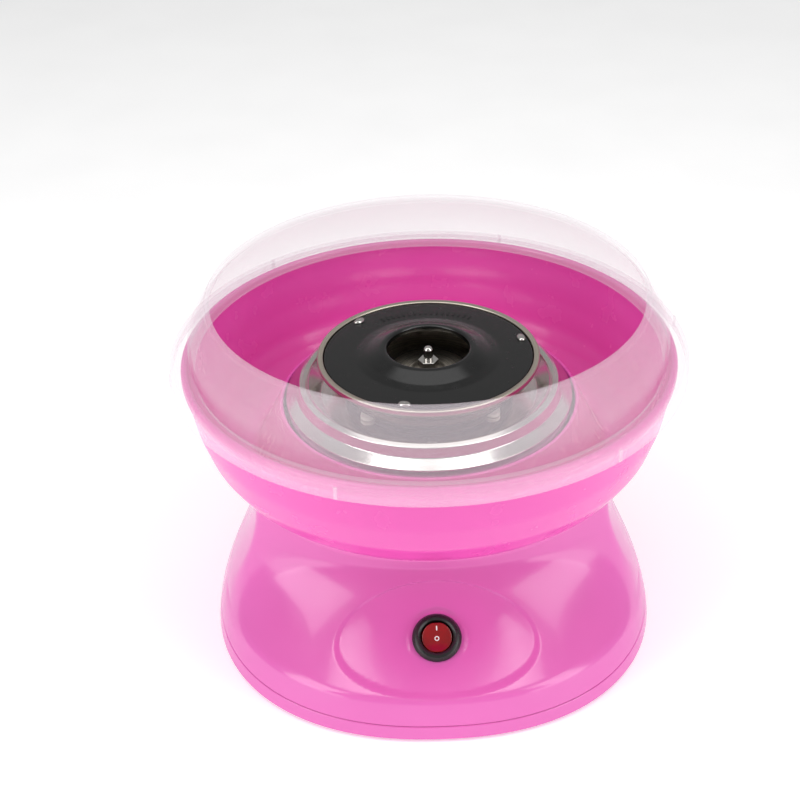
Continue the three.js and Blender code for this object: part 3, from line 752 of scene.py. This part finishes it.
def spindle():
    profile = [(0, 49), (2.5, 49), (2.5, 162.4), (1.7, 163.6), (0, 164)]
    return turned("shaft", profile, STEEL, 0.4, 48)


def make_head():
    dress(dish(), "base", "polished_steel", "heater_dish")
    dress(pan(), "spinner_head", "spun_aluminium", "head_pan")
    dress(hub("pan_hub"), "spinner_head", "spun_aluminium")
    dress(cover(), "spinner_head", "black_enamel", "head_cover")
    for i, angle in enumerate(TAB_ANGLES, 1):
        dress(tab(i, angle), "spinner_head", "bright_steel", f"cover_tab_{i}")
    dress(nut(), "spinner_head", "bright_steel", "head_nut")
    dress(spindle(), "rotor", "bright_steel", "spindle")


# ------------------------------------------------------------------ studio
def area_light(name, place, target, size, power):
    data = bpy.data.lights.new(name, "AREA")
    data.shape = "RECTANGLE"
    data.size, data.size_y = size
    data.energy = power
    light = bpy.data.objects.new(name, data)
    bpy.context.scene.collection.objects.link(light)
    light.location = place
    light.visible_camera = False
    light.rotation_mode = "QUATERNION"
    light.rotation_quaternion = (Vector(target) - Vector(place)).to_track_quat("-Z", "Y")


def make_camera():
    """Looks along +Y and down, with a slight roll."""
    pitch, roll = CAMERA_PITCH, CAMERA_ROLL
    right, up = Vector((1, 0, 0)), Vector((0, math.sin(pitch), math.cos(pitch)))
    forward = Vector((0, math.cos(pitch), -math.sin(pitch)))
    image_right = right * math.cos(roll) + up * math.sin(roll)
    image_up = up * math.cos(roll) - right * math.sin(roll)
    turn = Matrix((image_right, image_up, -forward)).transposed()
    data = bpy.data.cameras.new("camera")
    data.sensor_width = 36
    data.lens = CAMERA_LENS
    camera = bpy.data.objects.new("camera", data)
    camera.matrix_world = Matrix.Translation(Vector(CAMERA_PLACE) * MM) @ turn.to_4x4()
    bpy.context.scene.collection.objects.link(camera)
    bpy.context.scene.camera = camera


def make_studio():
    pale = finish("floor_white", linear("f6f6f6"), 0.6, variation=0.01, cloud=3, grain=200,
                  sockets={"Emission Color": (1, 1, 1, 1), "Emission Strength": 0.3})
    square = [(-FLOOR_REACH, -FLOOR_REACH), (FLOOR_REACH, -FLOOR_REACH),
              (FLOOR_REACH, FLOOR_REACH), (-FLOOR_REACH, FLOOR_REACH)]
    floor = prism("floor", square, -20, 0, pale)
    centre = (0, 0, 0.09)
    area_light("left_softbox", (-0.95, -0.55, 0.75), centre, (0.55, 0.9), 5.5)
    area_light("right_softbox", (0.95, -0.55, 0.75), centre, (0.55, 0.9), 5)
    area_light("left_strip", (-0.95, -0.75, 0.2), centre, (0.7, 0.36), 2)
    area_light("right_strip", (0.95, -0.75, 0.2), centre, (0.7, 0.36), 2)
    area_light("left_overhead", (-0.4, -0.28, 1.27), centre, (0.4, 0.4), 1.8)
    area_light("right_overhead", (0.4, -0.28, 1.27), centre, (0.4, 0.4), 1.8)
    area_light("top_softbox", (0, 0.1, 1.5), centre, (1.2, 1.2), 4.5)
    world = bpy.data.worlds.new("studio")
    world.use_nodes = True
    world.node_tree.nodes["Background"].inputs["Color"].default_value = (1, 1, 1, 1)
    world.node_tree.nodes["Background"].inputs["Strength"].default_value = 0.36
    bpy.context.scene.world = world
    bpy.context.scene.view_settings.view_transform = "Standard"


finish_cad_nodes()
make_base()
make_switch()
make_bowl()
make_head()
make_camera()
make_studio()
